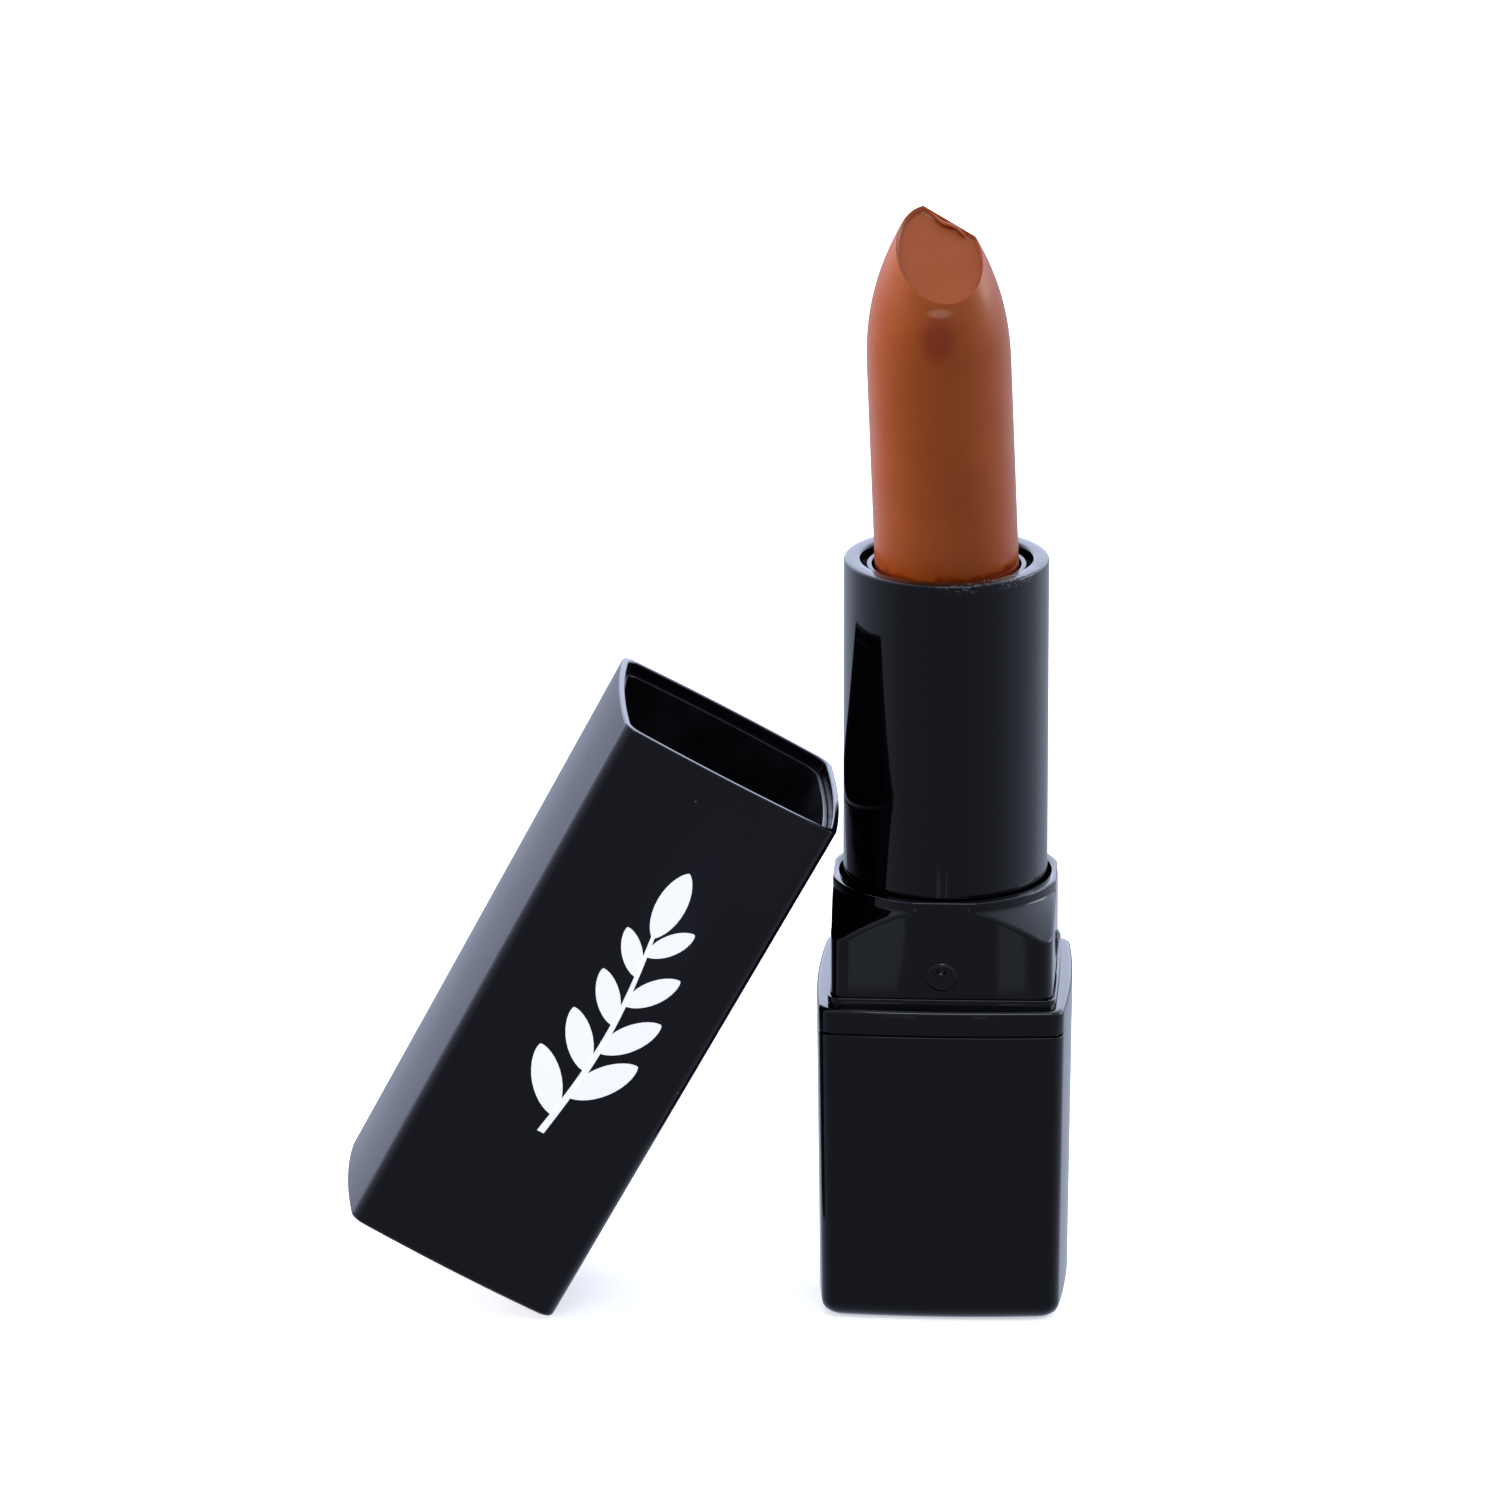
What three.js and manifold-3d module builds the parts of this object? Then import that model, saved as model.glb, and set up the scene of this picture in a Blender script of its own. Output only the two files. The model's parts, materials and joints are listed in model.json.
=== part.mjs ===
// A twist-up lipstick case that stands open with its bullet raised, and its cap leaning on it.
// Millimetres, +Z up. The origin is the middle of the base's flat underside, and -Y is the front.
// Turning the tube turns a spiral sleeve round a slotted fork. The bullet's cup has two lugs that
// pass through the fork's slots into the spiral's grooves, so the cup rises without turning.
import * as THREE from "three";
import { mergeVertices } from "three/addons/utils/BufferGeometryUtils.js";
import Module from "manifold-3d";

const wasm = await Module();
wasm.setup();

// Clearances.
const FIT = 0.05; // between pieces pressed or cemented together
const RUNNING = 0.12; // between pieces that turn or slide on each other
const OPEN_GAP = 0.3; // between pieces that only come near each other
const END_PLAY = 1; // room past each end of the bullet's travel
const OVERRUN = 1; // how far a cutting tool runs past what it cuts

// The bullet, its cup and its travel.
const BULLET_RADIUS = 6;
const BULLET_HEIGHT = 32.85; // from the tube's rim to the point of the uncut nose
const NOSE_HEIGHT = 16.15;
const NOSE_FULLNESS = 2.24; // power of the nose's curve along its height
const NOSE_BLUNTNESS = 0.92; // power of the nose's curve at its point
const BULLET_LEAN = THREE.MathUtils.degToRad(2.34); // the bullet stands a little askew
const CUT_TILT = THREE.MathUtils.degToRad(42.5); // of the slanted cut, from level
const CUT_TURN = THREE.MathUtils.degToRad(15.4); // of the slanted cut, from the front towards +X
const CUT_HEIGHT = 20.6; // from the tube's rim to the cut, square to the cut
const NICK_TURN = THREE.MathUtils.degToRad(43.3); // of the nicked edge, from the top of the cut
const NICK_REACH = 15.53; // from the foot of CUT_HEIGHT to the nicked edge, along the cut
const FOOT_SINK = 1; // the bullet's leaning part below the tube's rim
const PLUG_PLAY = 0.2; // between the bullet and the cup's wall
const CUP_WALL = 0.5;
const CUP_HEIGHT = 11;
const CUP_FLOOR = 0.8;
const CUP_SINK = 0.5; // the cup's rim below the tube's rim, with the bullet up
const LUG_RADIUS = 1;
const LUG_RISE = 2.5; // lug's middle above the cup's underside
const STROKE = 31;
const TURNS = 1.5; // of the tube, over the stroke

// Walls of the mechanism, from the inside out.
const FORK_WALL = 0.5;
const SPIRAL_WALL = 0.5;
const TUBE_WALL = 0.56;
const TUBE_LIP = 0.9; // thickness of the tube's inturned rim
const TUBE_LIP_GAP = 0.48; // between that rim and the cup
const TUBE_EDGE = 0.25; // rounding of the rim
const FLANGE_PROUD = 0.45; // of the flange that holds the tube in the neck
const FLANGE_HEIGHT = 1;
const FORK_FLANGE = 1.5; // thickness of the fork's round foot
const FORK_SPIGOT = 2.5; // height of the fork's plug in the neck

// The neck, which the cap snaps on.
const NECK_GAP = 0.31; // round the tube
const NECK_WALL = 0.48; // at the middle of each side
const NECK_BULGE = 0.12;
const NECK_CORNER = 1.2;
const NECK_HEIGHT = 9.15; // above the collar
const SKIRT_OVERLAP = 1; // how far the neck's square runs down into its skirt
const RIM_PROUD = 0.36; // of the round rim, past the flat sides that cut it
const RIM_HEIGHT = 0.75;
const RIM_EDGE = 0.2;
const SHOULDER_SLOPE = 0.9; // drop per millimetre outwards of the corners' cone
const SHOULDER_REACH = 4.5; // of that cone, past the rim
const BUMP_RADIUS = 1.25;
const BUMP_PROUD = 0.25;
const BUMP_RISE = 2.7; // bump's middle above the collar

// The base and its collar.
const BASE_HEIGHT = 25.15;
const BASE_WALL = 1;
const BASE_FLOOR = 1.5;
const BASE_DRAFT = 0.29; // narrowing of each side from top to bottom
const BASE_EDGE = 1.5; // rounding of the bottom edge
const SIDE_BULGE = 0.53; // of each outer side
const CAVITY_BULGE = 0.3; // of each side of the base's hollow
const CASE_CORNER = 1;
const INNER_CORNER = 0.6;
const COLLAR_HEIGHT = 2.25;
const COLLAR_EDGE = 0.55;
const COLLAR_PROUD = 0.22; // past the cap's mouth
const SEAM_DEPTH = 0.35;
const SEAM_HEIGHT = 0.2;
const FOOT_HEIGHT = 0.75; // of the collar's raised lip round the neck
const FOOT_WALL = 0.22;
const WEIGHT_RADIUS = 6.4;
const LABEL_RADIUS = 6.3;
const LABEL_THICKNESS = 0.12;
const RING_HEIGHT = 1.2;
const RING_DEPTH = 6.5; // ring's top below the neck's rim

// The visible tube, and the cap.
const TUBE_HEIGHT = 27.26; // above the neck
const CAP_LENGTH = 48.98;
const CAP_WALL = 0.56;
const CAP_END = 1.2;
const CAP_DRAFT = 0.44; // narrowing of each side from the mouth to the closed end
const CAP_EDGE = 0.45; // rounding of the closed end
const LINER_WALL = 0.4;
const LINER_SINK = 1; // liner's edge below the cap's mouth
const LINER_GAP = 0.1; // between the liner and the neck
const POCKET_WIDTH = 3;
const POCKET_HEIGHT = 1.6;
const POCKET_DEPTH = 0.25;
const CAP_STAND_OFF = 32.9; // from the case's middle to the cap's lower edge
const CAP_SIDE = -2.2; // the cap's place along Y
const CAP_YAW = THREE.MathUtils.degToRad(3.5);

// Facets.
const ROUND_SIDES = 48;
const OUTLINE_STEPS = 3;
const EDGE_STEPS = 3;
const LUG_SIDES = 16;
const NOSE_STEPS = 9;
const GROOVE_STEPS_PER_TURN = 32;

// Widths that follow from the stack of walls.
const cupInner = BULLET_RADIUS + PLUG_PLAY;
const cupOuter = cupInner + CUP_WALL;
const forkInner = cupOuter + RUNNING;
const forkOuter = forkInner + FORK_WALL;
const spiralInner = forkOuter + RUNNING;
const spiralOuter = spiralInner + SPIRAL_WALL;
const tubeInner = spiralOuter + FIT;
const tubeOuter = tubeInner + TUBE_WALL;
const flangeRadius = tubeOuter + FLANGE_PROUD;
const neckBore = tubeOuter + NECK_GAP;
const neckLowerBore = flangeRadius + RUNNING;
const neckHalf = neckBore + NECK_WALL;
const rimRadius = neckHalf + RIM_PROUD;
const linerMouthHalf = neckHalf + LINER_GAP;
const capMouthHalf = linerMouthHalf + LINER_WALL + FIT + CAP_WALL;
const caseHalf = capMouthHalf + COLLAR_PROUD;
const cavityHalf = caseHalf - BASE_WALL;

// Heights that follow from the stack of pieces.
const collarTop = BASE_HEIGHT + COLLAR_HEIGHT;
const neckTop = collarTop + NECK_HEIGHT;
const tubeTop = neckTop + TUBE_HEIGHT;
const cupTop = tubeTop - CUP_SINK;
const cupBottom = cupTop - CUP_HEIGHT;
const lugTop = cupBottom + LUG_RISE;
const lugBottom = lugTop - STROKE;
const forkFloor = cupBottom - STROKE - END_PLAY;
const neckBottom = forkFloor - FORK_SPIGOT;
const forkBottom = neckBottom - FORK_FLANGE;
const sleeveBottom = forkFloor + OPEN_GAP;
const innerTop = tubeTop - TUBE_LIP - END_PLAY;

// A closed mesh as a solid that can be joined and cut.
function solid(geometry) {
  geometry.deleteAttribute("normal");
  geometry.deleteAttribute("uv");
  const merged = mergeVertices(geometry);
  return new wasm.Manifold(
    new wasm.Mesh({
      numProp: 3,
      vertProperties: merged.attributes.position.array,
      triVerts: new Uint32Array(merged.index.array),
    }),
  );
}

function join(...solids) {
  return solids.reduce((all, next) => all.add(next));
}

function cut(body, ...tools) {
  return tools.reduce((rest, tool) => rest.subtract(tool), body);
}

// A square with bowed sides and round corners. halfWidth is measured to the middle of a side.
function bowedSquare(halfWidth, bulge, corner) {
  const half = halfWidth - bulge;
  const sideRadius = (half * half + bulge * bulge) / (2 * bulge);
  const sideCentre = halfWidth - sideRadius;
  const reach = sideRadius - corner;
  const cornerCentre = (sideCentre + Math.sqrt(2 * reach * reach - sideCentre * sideCentre)) / 2;
  const spread = Math.atan2(cornerCentre, cornerCentre - sideCentre);
  const shape = new THREE.Shape();
  for (let side = 0; side < 4; side += 1) {
    const turn = (side * Math.PI) / 2;
    const centre = new THREE.Vector2(sideCentre, 0).rotateAround(new THREE.Vector2(), turn);
    const round = new THREE.Vector2(cornerCentre, cornerCentre).rotateAround(new THREE.Vector2(), turn);
    shape.absarc(centre.x, centre.y, sideRadius, turn - spread, turn + spread, false);
    shape.absarc(round.x, round.y, corner, turn + spread, turn + Math.PI / 2 - spread, false);
  }
  return shape;
}

// A bowed square prism. Each level gives a height and how far the outline is drawn in there.
function prism(halfWidth, bulge, corner, levels) {
  const geometry = new THREE.ExtrudeGeometry(bowedSquare(halfWidth, bulge, corner), {
    depth: 1,
    steps: levels.length - 1,
    curveSegments: OUTLINE_STEPS,
    bevelEnabled: false,
  });
  const position = geometry.attributes.position;
  for (let i = 0; i < position.count; i += 1) {
    const level = levels[Math.round(position.getZ(i) * (levels.length - 1))];
    const scale = 1 - level.inset / halfWidth;
    position.setXYZ(i, position.getX(i) * scale, position.getY(i) * scale, level.z);
  }
  return solid(geometry);
}

function straightPrism(halfWidth, bulge, corner, bottom, top) {
  return prism(halfWidth, bulge, corner, [{ z: bottom, inset: 0 }, { z: top, inset: 0 }]);
}

// Levels of a rounded edge that ends at height z: dir is 1 for a lower edge, -1 for an upper one.
function roundedEdge(z, radius, dir, inset = 0) {
  const levels = [];
  for (let i = 0; i <= EDGE_STEPS; i += 1) {
    const angle = (i / EDGE_STEPS) * (Math.PI / 2);
    levels.push({
      z: z + dir * radius * (1 - Math.cos(angle)),
      inset: inset + radius * (1 - Math.sin(angle)),
    });
  }
  return dir > 0 ? levels : levels.reverse();
}

// A solid turned about Z, from [radius, height] points that run up its outside.
function turned(profile, sides = ROUND_SIDES) {
  const points = profile.map(([radius, height]) => new THREE.Vector2(radius, height));
  return solid(new THREE.LatheGeometry(points, sides).rotateX(Math.PI / 2));
}

function disc(radius, bottom, top) {
  return turned([[0, bottom], [radius, bottom], [radius, top], [0, top]]);
}

function ring(inner, outer, bottom, top) {
  return turned([[inner, bottom], [outer, bottom], [outer, top], [inner, top], [inner, bottom]]);
}

function baseShell() {
  const outside = prism(caseHalf, SIDE_BULGE, CASE_CORNER, [
    ...roundedEdge(0, BASE_EDGE, 1, BASE_DRAFT),
    { z: BASE_HEIGHT, inset: 0 },
  ]);
  const cavity = straightPrism(cavityHalf, CAVITY_BULGE, INNER_CORNER, BASE_FLOOR, BASE_HEIGHT + OVERRUN);
  const labelSeat = disc(LABEL_RADIUS + FIT, -OVERRUN, LABEL_THICKNESS);
  return cut(outside, cavity, labelSeat);
}

function baseCollar() {
  const outside = prism(caseHalf, SIDE_BULGE, CASE_CORNER, [
    { z: BASE_HEIGHT, inset: SEAM_DEPTH },
    { z: BASE_HEIGHT + SEAM_HEIGHT, inset: SEAM_DEPTH },
    { z: BASE_HEIGHT + SEAM_HEIGHT, inset: 0 },
    ...roundedEdge(collarTop, COLLAR_EDGE, -1),
  ]);
  const holeHalf = neckHalf + FIT;
  const footHalf = holeHalf + FOOT_WALL;
  const footTop = collarTop + FOOT_HEIGHT;
  const foot = straightPrism(footHalf, NECK_BULGE, NECK_CORNER, BASE_HEIGHT + SEAM_HEIGHT, footTop);
  const hole = straightPrism(holeHalf, NECK_BULGE, NECK_CORNER, 0, tubeTop);
  return cut(join(outside, foot), hole);
}

function neckBumps() {
  const bumps = [];
  for (let side = 0; side < 4; side += 1) {
    const dome = new THREE.SphereGeometry(BUMP_RADIUS, LUG_SIDES, LUG_SIDES / 2);
    dome.scale(1, BUMP_PROUD / BUMP_RADIUS, 1);
    dome.translate(0, -neckHalf, collarTop + BUMP_RISE);
    bumps.push(solid(dome.rotateZ((side * Math.PI) / 2)));
  }
  return bumps;
}

// The square neck turns into a round rim through a cone that cuts its corners.
function neck() {
  const skirtHalf = cavityHalf - FIT;
  const skirt = straightPrism(skirtHalf, CAVITY_BULGE, INNER_CORNER, neckBottom, BASE_HEIGHT);
  const squareBottom = BASE_HEIGHT - SKIRT_OVERLAP;
  const square = straightPrism(neckHalf, NECK_BULGE, NECK_CORNER, squareBottom, neckTop);
  const rimBottom = neckTop - RIM_HEIGHT;
  const nut = turned([
    [0, 0],
    [rimRadius + SHOULDER_REACH, 0],
    [rimRadius + SHOULDER_REACH, rimBottom - SHOULDER_REACH * SHOULDER_SLOPE],
    [rimRadius, rimBottom],
    [rimRadius, neckTop - RIM_EDGE],
    [rimRadius - RIM_EDGE, neckTop],
    [0, neckTop],
  ]);
  const ledge = sleeveBottom + FLANGE_HEIGHT + OPEN_GAP;
  const bore = disc(neckBore, 0, tubeTop);
  const lowerBore = disc(neckLowerBore, 0, ledge);
  return cut(join(skirt, square.intersect(nut), ...neckBumps()), bore, lowerBore);
}

// The slotted inner sleeve, which stands on the weight and plugs the neck's lower end.
function fork() {
  const footRadius = cavityHalf - 2 * FIT;
  const spigotRadius = neckLowerBore - FIT;
  const body = turned([
    [0, forkBottom],
    [footRadius, forkBottom],
    [footRadius, neckBottom],
    [spigotRadius, neckBottom],
    [spigotRadius, forkFloor],
    [forkOuter, forkFloor],
    [forkOuter, innerTop],
    [forkInner, innerTop],
    [forkInner, forkFloor],
    [0, forkFloor],
  ]);
  const slotHalf = LUG_RADIUS + RUNNING;
  const slotHeight = STROKE + 2 * slotHalf;
  const slotLength = 2 * (forkOuter + OVERRUN);
  const slot = new THREE.BoxGeometry(slotLength, 2 * slotHalf, slotHeight);
  slot.translate(0, 0, (lugTop + lugBottom) / 2);
  return cut(body, solid(slot));
}

// The line that the middle of a groove follows round the spiral sleeve.
class GroovePath extends THREE.Curve {
  constructor(start) {
    super();
    this.start = start;
  }
  getPoint(t) {
    const radius = (spiralInner + spiralOuter) / 2;
    const run = TURNS * 2 * Math.PI;
    const spare = (LUG_RADIUS + RUNNING) / radius; // past the lug at each end
    const angle = -run - spare + t * (run + 2 * spare);
    const height = lugTop + (angle / run) * STROKE;
    return new THREE.Vector3(
      radius * Math.cos(this.start + angle),
      radius * Math.sin(this.start + angle),
      height,
    );
  }
}

function groove(start) {
  const section = new THREE.Shape();
  section.absarc(0, 0, LUG_RADIUS + 2 * RUNNING, 0, 2 * Math.PI, false);
  return solid(
    new THREE.ExtrudeGeometry(section, {
      extrudePath: new GroovePath(start),
      steps: GROOVE_STEPS_PER_TURN * TURNS,
      curveSegments: LUG_SIDES / 4,
      bevelEnabled: false,
    }),
  );
}

function spiral() {
  const sleeve = ring(spiralInner, spiralOuter, sleeveBottom, innerTop);
  return cut(sleeve, groove(0), groove(Math.PI));
}

function tube() {
  const lipRadius = cupOuter + TUBE_LIP_GAP;
  const flangeTop = sleeveBottom + FLANGE_HEIGHT;
  return turned([
    [tubeInner, sleeveBottom],
    [flangeRadius, sleeveBottom],
    [flangeRadius, flangeTop],
    [tubeOuter, flangeTop],
    [tubeOuter, tubeTop - TUBE_EDGE],
    [tubeOuter - TUBE_EDGE, tubeTop],
    [lipRadius, tubeTop],
    [lipRadius, tubeTop - TUBE_LIP],
    [tubeInner, tubeTop - TUBE_LIP],
    [tubeInner, sleeveBottom],
  ]);
}

function cup() {
  const body = turned([
    [0, cupBottom],
    [cupOuter, cupBottom],
    [cupOuter, cupTop],
    [cupInner, cupTop],
    [cupInner, cupBottom + CUP_FLOOR],
    [0, cupBottom + CUP_FLOOR],
  ]);
  const reach = spiralOuter - RUNNING / 2;
  const root = (cupInner + cupOuter) / 2;
  const lugLength = reach - root;
  const lugs = [1, -1].map((side) => {
    const lug = new THREE.CylinderGeometry(LUG_RADIUS, LUG_RADIUS, lugLength, LUG_SIDES);
    lug.rotateZ(Math.PI / 2);
    lug.translate(side * (reach - lugLength / 2), 0, lugTop);
    return solid(lug);
  });
  return join(body, ...lugs);
}

// A block that holds everything past a plane, given by its unit normal and its distance.
function beyond(normal, distance) {
  const block = new THREE.BoxGeometry(2 * BULLET_HEIGHT, 2 * BULLET_HEIGHT, BULLET_HEIGHT);
  block.translate(0, 0, BULLET_HEIGHT / 2 + distance);
  const turn = new THREE.Quaternion().setFromUnitVectors(new THREE.Vector3(0, 0, 1), normal);
  return solid(block.applyQuaternion(turn));
}

// The moulded bullet leans, and its slanted cut faces the front. A nick has taken the right of the
// cut's upper edge. Its foot fills the cup.
function bullet() {
  const noseBottom = BULLET_HEIGHT - NOSE_HEIGHT;
  const profile = [[0, -FOOT_SINK], [BULLET_RADIUS, -FOOT_SINK]];
  for (let i = 0; i < NOSE_STEPS; i += 1) {
    const share = Math.sin((i / NOSE_STEPS) * (Math.PI / 2));
    const radius = BULLET_RADIUS * (1 - share ** NOSE_FULLNESS) ** (1 / NOSE_BLUNTNESS);
    profile.push([radius, noseBottom + NOSE_HEIGHT * share]);
  }
  profile.push([0, BULLET_HEIGHT]);
  const cutNormal = new THREE.Vector3(
    Math.sin(CUT_TILT) * Math.sin(CUT_TURN),
    -Math.sin(CUT_TILT) * Math.cos(CUT_TURN),
    Math.cos(CUT_TILT),
  );
  const acrossCut = new THREE.Vector3(Math.cos(CUT_TURN), Math.sin(CUT_TURN), 0);
  const nickNormal = new THREE.Vector3()
    .crossVectors(cutNormal, acrossCut)
    .multiplyScalar(Math.cos(NICK_TURN))
    .addScaledVector(acrossCut, Math.sin(NICK_TURN));
  const nickPoint = cutNormal.clone().multiplyScalar(CUT_HEIGHT);
  const nickDistance = nickPoint.dot(nickNormal) + NICK_REACH;
  const leaning = cut(turned(profile), beyond(cutNormal, CUT_HEIGHT), beyond(nickNormal, nickDistance))
    .rotate([0, -THREE.MathUtils.radToDeg(BULLET_LEAN), 0])
    .translate([0, 0, tubeTop]);
  const plug = disc(cupInner - FIT, cupBottom + CUP_FLOOR, cupTop - CUP_SINK);
  return join(leaning, plug);
}

// The cap in its own frame: closed end at z 0, mouth up.
function capShell() {
  const outside = prism(capMouthHalf, SIDE_BULGE, CASE_CORNER, [
    ...roundedEdge(0, CAP_EDGE, 1, CAP_DRAFT),
    { z: CAP_LENGTH, inset: 0 },
  ]);
  const cavity = prism(capMouthHalf - CAP_WALL, SIDE_BULGE, INNER_CORNER, [
    { z: CAP_END, inset: CAP_DRAFT },
    { z: CAP_LENGTH + OVERRUN, inset: 0 },
  ]);
  return cut(outside, cavity);
}

function capLiner() {
  const outerHalf = capMouthHalf - CAP_WALL - FIT;
  const top = CAP_LENGTH - LINER_SINK;
  const outside = prism(outerHalf, SIDE_BULGE, INNER_CORNER, [
    { z: CAP_END + FIT, inset: CAP_DRAFT },
    { z: top, inset: 0 },
  ]);
  const hollow = prism(outerHalf - LINER_WALL, SIDE_BULGE, INNER_CORNER, [
    { z: CAP_END + LINER_WALL, inset: CAP_DRAFT },
    { z: top + OVERRUN, inset: 0 },
  ]);
  const pockets = [0, Math.PI / 2].map((turn) => {
    const span = 2 * (outerHalf - LINER_WALL + POCKET_DEPTH);
    const pocket = new THREE.BoxGeometry(POCKET_WIDTH, span, POCKET_HEIGHT);
    pocket.translate(0, 0, CAP_LENGTH - BUMP_RISE);
    return solid(pocket.rotateZ(turn));
  });
  return cut(outside, hollow, ...pockets);
}

// The angle at which the cap, standing on its lower edge, comes up to a piece of that half-width.
function leanTo(half) {
  const rise = CAP_LENGTH - CAP_EDGE;
  const out = CAP_DRAFT + CAP_EDGE;
  const room = (CAP_STAND_OFF - half - OPEN_GAP) / Math.cos(CAP_YAW);
  return Math.asin(room / Math.hypot(rise, out)) - Math.atan2(out, rise);
}

// The cap leans on the tube, or on what is wider below it where the cap is too short for the tube.
function capLean() {
  const leans = [
    { lean: leanTo(tubeOuter), above: neckTop },
    { lean: leanTo(neckHalf), above: collarTop },
    { lean: leanTo(caseHalf), above: 0 },
  ];
  return leans.find(({ lean, above }) => CAP_LENGTH * Math.cos(lean) > above).lean;
}

const blackGloss = { color: 0x15161a, roughness: 0.12, metalness: 0 };
const blackCap = { color: 0x17151d, roughness: 0.12, metalness: 0 };
const innerPlastic = { color: 0x24242a, roughness: 0.45, metalness: 0 };
const steel = { color: 0x8d8f94, roughness: 0.35, metalness: 1 };
const rubber = { color: 0x1b1b1b, roughness: 0.8, metalness: 0 };
const paper = { color: 0xd8d8d6, roughness: 0.6, metalness: 0 };
const wax = { color: 0x8a4a2a, roughness: 0.42, metalness: 0 };

function piece(name, body, finish) {
  const { vertProperties, triVerts } = body.getMesh();
  const geometry = new THREE.BufferGeometry();
  geometry.setAttribute("position", new THREE.BufferAttribute(vertProperties, 3));
  geometry.setIndex(new THREE.BufferAttribute(triVerts, 1));
  geometry.computeVertexNormals();
  const mesh = new THREE.Mesh(geometry, new THREE.MeshStandardMaterial(finish));
  mesh.name = name;
  return mesh;
}

function baseGroup() {
  const ringTop = neckTop - RING_DEPTH;
  const dragRing = ring(tubeOuter + FIT, neckBore - FIT, ringTop - RING_HEIGHT, ringTop);
  return new THREE.Group().add(
    piece("base_shell", baseShell(), blackGloss),
    piece("base_collar", baseCollar(), blackGloss),
    piece("neck", neck(), blackGloss),
    piece("fork", fork(), innerPlastic),
    piece("base_weight", disc(WEIGHT_RADIUS, BASE_FLOOR, forkBottom), steel),
    piece("friction_ring", dragRing, rubber),
    piece("shade_label", disc(LABEL_RADIUS, 0, LABEL_THICKNESS), paper),
  );
}

function sleeveGroup() {
  return new THREE.Group().add(
    piece("tube", tube(), blackGloss),
    piece("spiral", spiral(), innerPlastic),
  );
}

function carriageGroup() {
  return new THREE.Group().add(
    piece("cup", cup(), innerPlastic),
    piece("bullet", bullet(), wax),
  );
}

// The cap turns about the middle of its rounded lower edge, which stands on the ground.
function capGroup() {
  const edge = capMouthHalf - CAP_DRAFT - CAP_EDGE;
  const held = new THREE.Group().add(
    piece("cap_shell", capShell(), blackCap),
    piece("cap_liner", capLiner(), innerPlastic),
  );
  held.position.set(-edge, 0, -CAP_EDGE);
  const leaning = new THREE.Group().add(held);
  leaning.rotation.set(0, capLean(), CAP_YAW, "ZYX");
  leaning.position.set(-CAP_STAND_OFF, CAP_SIDE, CAP_EDGE);
  return leaning;
}

const lipstickCase = new THREE.Group();
lipstickCase.name = "lipstick_case";
lipstickCase.add(baseGroup(), sleeveGroup(), carriageGroup(), capGroup());

export default lipstickCase;
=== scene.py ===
"""A square twist-up lipstick case, open and raised, with its cap leaning on the tube."""

import json
import math

import bmesh
import bpy
from mathutils import Matrix, Vector


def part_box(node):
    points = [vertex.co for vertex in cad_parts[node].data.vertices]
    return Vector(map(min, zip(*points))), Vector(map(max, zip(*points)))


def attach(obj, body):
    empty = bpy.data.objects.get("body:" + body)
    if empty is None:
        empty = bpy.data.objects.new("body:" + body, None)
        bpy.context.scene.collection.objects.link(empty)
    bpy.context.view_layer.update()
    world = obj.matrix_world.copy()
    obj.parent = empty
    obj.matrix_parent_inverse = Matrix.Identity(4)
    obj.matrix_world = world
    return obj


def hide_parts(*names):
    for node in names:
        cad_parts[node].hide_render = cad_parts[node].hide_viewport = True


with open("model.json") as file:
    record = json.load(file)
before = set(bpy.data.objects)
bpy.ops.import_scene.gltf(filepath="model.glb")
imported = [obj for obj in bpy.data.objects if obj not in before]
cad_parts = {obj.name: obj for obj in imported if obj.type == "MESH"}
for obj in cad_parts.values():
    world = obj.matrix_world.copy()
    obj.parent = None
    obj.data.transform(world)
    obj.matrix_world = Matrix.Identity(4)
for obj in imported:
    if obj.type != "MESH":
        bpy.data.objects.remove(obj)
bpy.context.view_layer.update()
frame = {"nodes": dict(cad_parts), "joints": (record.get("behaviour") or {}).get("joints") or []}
MM = 0.001

# How finely curves are drawn.
SIDE_CUTS = 47
CORNER_STEPS = 8
EDGE_STEPS = 5
ROUND_STEPS = 128

# Edges past this angle are rounded, and points within this distance become one.
SHARP_EDGE = math.radians(40)
WELD = 1e-7

# Outer form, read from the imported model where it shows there.
CASE_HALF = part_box("base_collar")[1].x
BASE_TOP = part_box("base_shell")[1].z
FOOT_HEIGHT = 0.75 * MM
COLLAR_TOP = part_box("base_collar")[1].z - FOOT_HEIGHT
NECK_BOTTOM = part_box("neck")[0].z
NECK_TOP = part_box("neck")[1].z
TUBE_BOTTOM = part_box("tube")[0].z
TUBE_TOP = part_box("tube")[1].z
CUP_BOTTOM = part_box("cup")[0].z
CUP_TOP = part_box("cup")[1].z
SIDE_BULGE = 0.53 * MM
BASE_DRAFT = 0.29 * MM
BASE_EDGE = 1.5 * MM
BASE_FLOOR = 1.5 * MM
BASE_WALL = 1 * MM
CAVITY_BULGE = 0.3 * MM
SEAM_DEPTH = 0.35 * MM
SEAM_HEIGHT = 0.2 * MM
COLLAR_EDGE = 0.36 * MM
FOOT_WALL = 0.22 * MM
FOOT_GROOVE = 0.13 * MM
FOOT_LEDGE = 0.28 * MM
FINE_EDGE = 0.08 * MM
FIT = 0.05 * MM

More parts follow.
